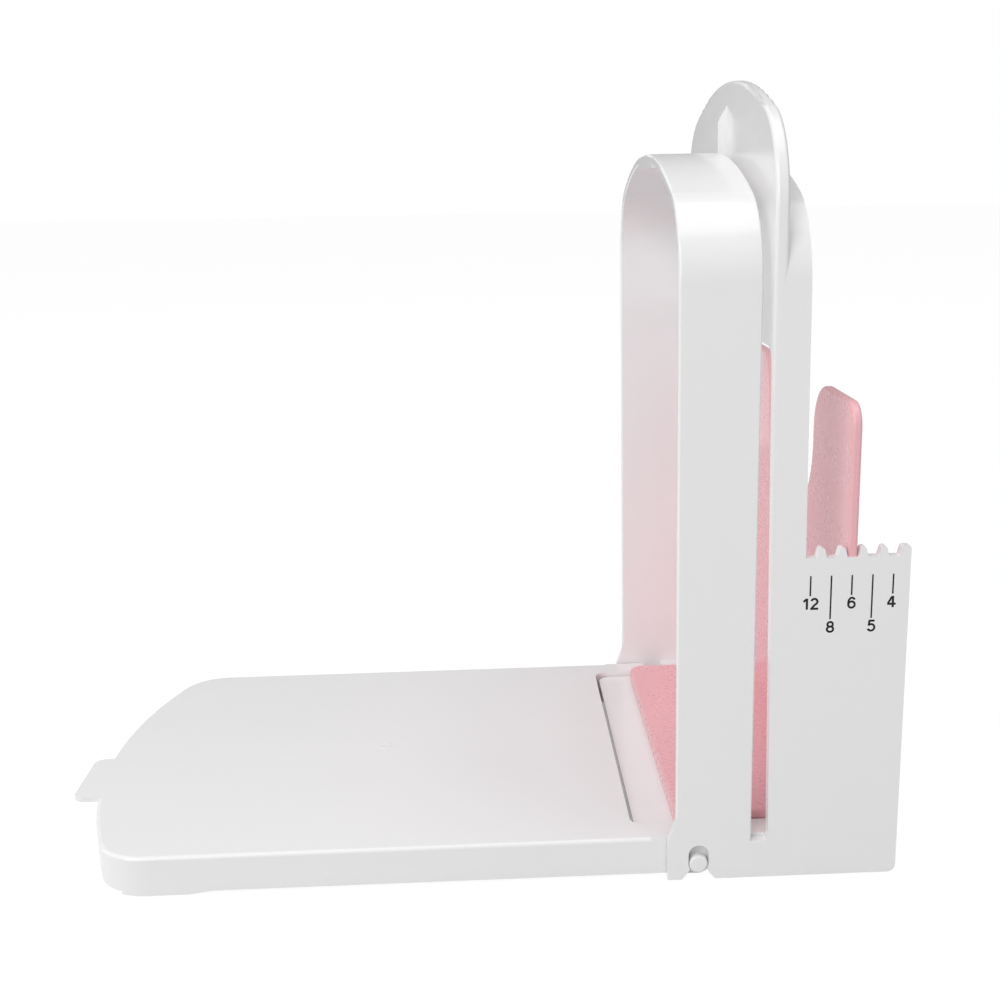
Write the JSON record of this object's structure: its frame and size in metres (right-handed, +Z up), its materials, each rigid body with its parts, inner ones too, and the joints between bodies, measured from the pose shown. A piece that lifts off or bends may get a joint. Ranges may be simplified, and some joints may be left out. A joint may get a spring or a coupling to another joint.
{
  "type": "bread slicer guide",
  "caption": "Countertop bread slicing guide: hoop and knife board with a blade slot between them, a fold-up loaf tray, and a lift-out slice stop in notched side panels.",
  "frame": {"origin": "on the surface the guide stands on, at the middle of its footprint with the tray folded down", "axes": "+X from the tray's finger pull towards the notched side panels, the way the loaf is pushed; +Y across the stand, away from the side that carries the scale; +Z up"},
  "size_m": [0.2162, 0.136, 0.1948],
  "materials": {
    "white_plastic": "smooth glossy moulded plastic",
    "pink_plastic": "smooth satin moulded plastic"
  },
  "bodies": {
    "stand": {"front_hoop": "white_plastic", "knife_board": "white_plastic", "near_side_panel": "white_plastic", "far_side_panel": "white_plastic", "deck": "white_plastic"},
    "tray": {"bread_tray": "white_plastic"},
    "stop": {"slice_stop": "pink_plastic"}
  },
  "joints": [
    {"name": "tray_fold", "type": "hinge", "parent": "stand", "child": "tray", "pos_m": [0.05795, 0, 0.004], "axis": [0, 1, 0], "range_deg": [0, 90]},
    {"name": "stop_lift", "type": "slide", "parent": "stand", "child": "stop", "axis": [0, 0, 1], "range_m": [0, 0.006]}
  ]
}
